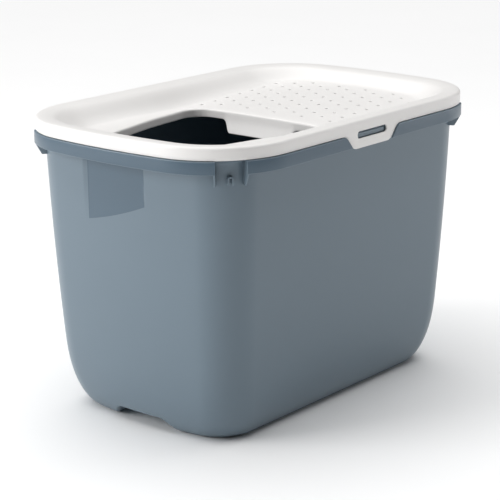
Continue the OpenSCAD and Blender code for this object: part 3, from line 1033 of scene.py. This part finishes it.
class LITTERBOX_OT_lid(bpy.types.Operator):
    """Models the lid: its skirt, bead, dished platform, drain holes and entry collar"""
    bl_idname = "litter_box.lid"
    bl_label = "Add Lid"

    def execute(self, context):
        s = settings()
        sections = list(lid_sections())
        skin = RingSkin("lid", sections[0])
        for ring in sections[1:]:
            skin.extrude(ring)
        skin.extrude(sections[0])
        lid = skin.finish()
        half, rise = s.latch.patch_half, s.latch.patch_rise
        for side in (-1, 1):
            inside = RIM_HIGH.y - s.lid.inset - s.lid.wall - 0.3 * MM
            ys = sorted((side * (RIM_HIGH.y + 2 * MM), side * inside))
            cut(lid, block("patch_cutter", (s.latch.middle - half, ys[0], SEAM_LOW.z - 2 * MM),
                           (s.latch.middle + half, ys[1], SEAM_LOW.z + rise)))
        cut(lid, drain_cutter())
        shade(lid)
        finish_piece(lid, lid_plastic(), "lid")
        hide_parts("lid_platform", "lid_slope", "entry_collar", "lid_bead", "lid_skirt")
        return {"FINISHED"}


class LITTERBOX_OT_latches(bpy.types.Operator):
    """Models the two latch tabs, each with the stretch of skirt that bends with it"""
    bl_idname = "litter_box.latches"
    bl_label = "Add Latch Tabs"

    def execute(self, context):
        front = self.tab()
        rear = mirrored(front, 1, "rear_latch_tab")
        for obj, node in ((front, "front_latch"), (rear, "rear_latch")):
            shade(obj)
            finish_piece(obj, lid_plastic())
            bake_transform(obj)
            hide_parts(node)
        return {"FINISHED"}

    def tab(self):
        """The front tab: its outline with the slot left open, given its thickness and rounded edges."""
        s = settings()
        latch, lid = s.latch, s.lid
        y_out = -RIM_HIGH.y + lid.inset
        wide, rise = latch.patch_half, latch.patch_rise
        outer = tab_outline(0, rise)[2:-2]
        left, right = latch.middle - wide, latch.middle + wide
        outer = [Vector((left, rise)), Vector((left, 0)), *outer, Vector((right, 0)), Vector((right, rise))]
        slot_low = latch.slot_rise - latch.slot_height
        first, last = latch.middle - latch.slot_half, latch.middle + latch.slot_half
        slot = [(first, latch.slot_rise), (first, slot_low), (last, slot_low), (last, latch.slot_rise)]
        slot = rounded(slot, [4.2 * MM] * 4)
        body = prism("front_latch_tab", upright(outer, y_out, SEAM_LOW.z), (0, lid.wall, 0))
        cut(body, prism("slot_cutter", upright(slot, y_out - 2 * MM, SEAM_LOW.z), (0, lid.wall + 4 * MM, 0)))
        bpy.ops.object.mode_set(mode="EDIT")
        mesh = bmesh.from_edit_mesh(body.data)
        for edge in mesh.edges:
            a, b = (v.co for v in edge.verts)
            middle = (a + b) / 2
            at_side = abs(middle.x - latch.middle) > wide - 0.1 * MM
            seam = at_side or middle.z > SEAM_LOW.z + rise - 0.1 * MM
            flat = abs(a.y - b.y) < 0.01 * MM
            edge.select_set(flat and not seam)
        bmesh.update_edit_mesh(body.data)
        bpy.ops.mesh.bevel(offset=0.45 * MM, segments=3, affect="EDGES")
        for height in (7, 5, 3, 1.2, 0, -1.5, -3):
            bpy.ops.mesh.select_all(action="SELECT")
            bpy.ops.mesh.bisect(plane_co=(0, 0, SEAM_LOW.z + height * MM), plane_no=(0, 0, 1))
        clean_mesh()
        return body


# ---- the stage ----


def added(name, data):
    obj = bpy.data.objects.new(name, data)
    bpy.context.collection.objects.link(obj)
    return obj


def area_light(name, place, target, size, power):
    """A soft rectangular light at a place, turned to the target."""
    data = bpy.data.lights.new(name, "AREA")
    data.shape = "RECTANGLE"
    data.size, data.size_y = size
    data.energy = power
    obj = added(name, data)
    obj.location = place
    obj.rotation_euler = (Vector(target) - Vector(place)).to_track_quat("-Z", "Y").to_euler()


class LITTERBOX_OT_stage(bpy.types.Operator):
    """Sets up the pale floor, the soft lights and the camera"""
    bl_idname = "litter_box.stage"
    bl_label = "Add Stage"

    def execute(self, context):
        s = settings()
        select_only()
        bpy.ops.mesh.primitive_plane_add(size=14, location=(0, 0, 0))
        floor = bpy.context.object
        floor.name = floor.data.name = "floor"
        shop = Shop("pale_floor")
        pale = s.plastic.floor
        shop.feed("Base Color", shop.blend(shop.noise(3.0), tint(pale, 0.99), tint(pale, 1.01)))
        shop.fix(Roughness=0.7)
        floor.data.materials.append(shop.material)
        self.camera(s.studio)
        middle = (0, 0, 0.2)
        self.sun("overhead_light", (0.1, 0.16, 1.0), 2.85, 80)
        area_light("left_softbox", (-2.3, 1.5, 1.15), middle, (1.6, 1.5), 48)
        area_light("right_softbox", (1.75, -1.0, 0.55), middle, (1.0, 0.9), 5)
        world = bpy.data.worlds.new("studio_air")
        world.use_nodes = True
        air = world.node_tree.nodes["Background"]
        air.inputs["Color"].default_value = (1, 1, 1, 1)
        air.inputs["Strength"].default_value = 0.1
        context.scene.world = world
        context.scene.view_settings.view_transform = "Standard"
        return {"FINISHED"}

    def sun(self, name, towards, strength, angle):
        """An even light from far off, as from a wide ceiling."""
        data = bpy.data.lights.new(name, "SUN")
        data.energy = strength
        data.angle = math.radians(angle)
        added(name, data).rotation_euler = Vector(towards).to_track_quat("Z", "Y").to_euler()

    def camera(self, studio):
        az, el = studio.azimuth, studio.elevation
        forward = Vector((-math.sin(az) * math.cos(el), math.cos(az) * math.cos(el), -math.sin(el)))
        right = Vector((math.cos(az), math.sin(az), 0))
        up = right.cross(forward)
        data = bpy.data.cameras.new("camera")
        data.lens = studio.lens
        data.shift_x, data.shift_y = studio.shift
        obj = added("camera", data)
        turned = Matrix.Rotation(-studio.roll, 3, forward)
        right, up = turned @ right, turned @ up
        axes = Matrix((right, up, -forward)).transposed()
        place = Vector(studio.target) - forward * studio.distance
        obj.matrix_world = Matrix.Translation(place) @ axes.to_4x4()
        bpy.context.scene.camera = obj


OPERATORS = (LITTERBOX_OT_tub, LITTERBOX_OT_brackets, LITTERBOX_OT_catches, LITTERBOX_OT_lid,
             LITTERBOX_OT_latches, LITTERBOX_OT_stage)
CLASSES = (*GROUPS.values(), LitterBoxSettings, *OPERATORS)


class LITTERBOX_PT_panel(bpy.types.Panel):
    """Lists the pieces and their sizes"""
    bl_idname = "LITTERBOX_PT_panel"
    bl_label = "Litter Box"
    bl_space_type = "VIEW_3D"
    bl_region_type = "UI"
    bl_category = "Litter Box"

    def draw(self, context):
        for operator in OPERATORS:
            self.layout.operator(operator.bl_idname)
        for name, group in GROUPS.items():
            box = self.layout.box()
            box.label(text=name.capitalize())
            for key in group.__annotations__:
                box.prop(getattr(context.scene.litter_box, name), key)


def register():
    for cls in (*CLASSES, LITTERBOX_PT_panel):
        bpy.utils.register_class(cls)
    bpy.types.Scene.litter_box = PointerProperty(type=LitterBoxSettings)


def unregister():
    del bpy.types.Scene.litter_box
    for cls in reversed((*CLASSES, LITTERBOX_PT_panel)):
        bpy.utils.unregister_class(cls)


def main():
    register()
    for operator in OPERATORS:
        group, name = operator.bl_idname.split(".")
        getattr(getattr(bpy.ops, group), name)()
    object_mode()


if __name__ == "__main__":
    main()
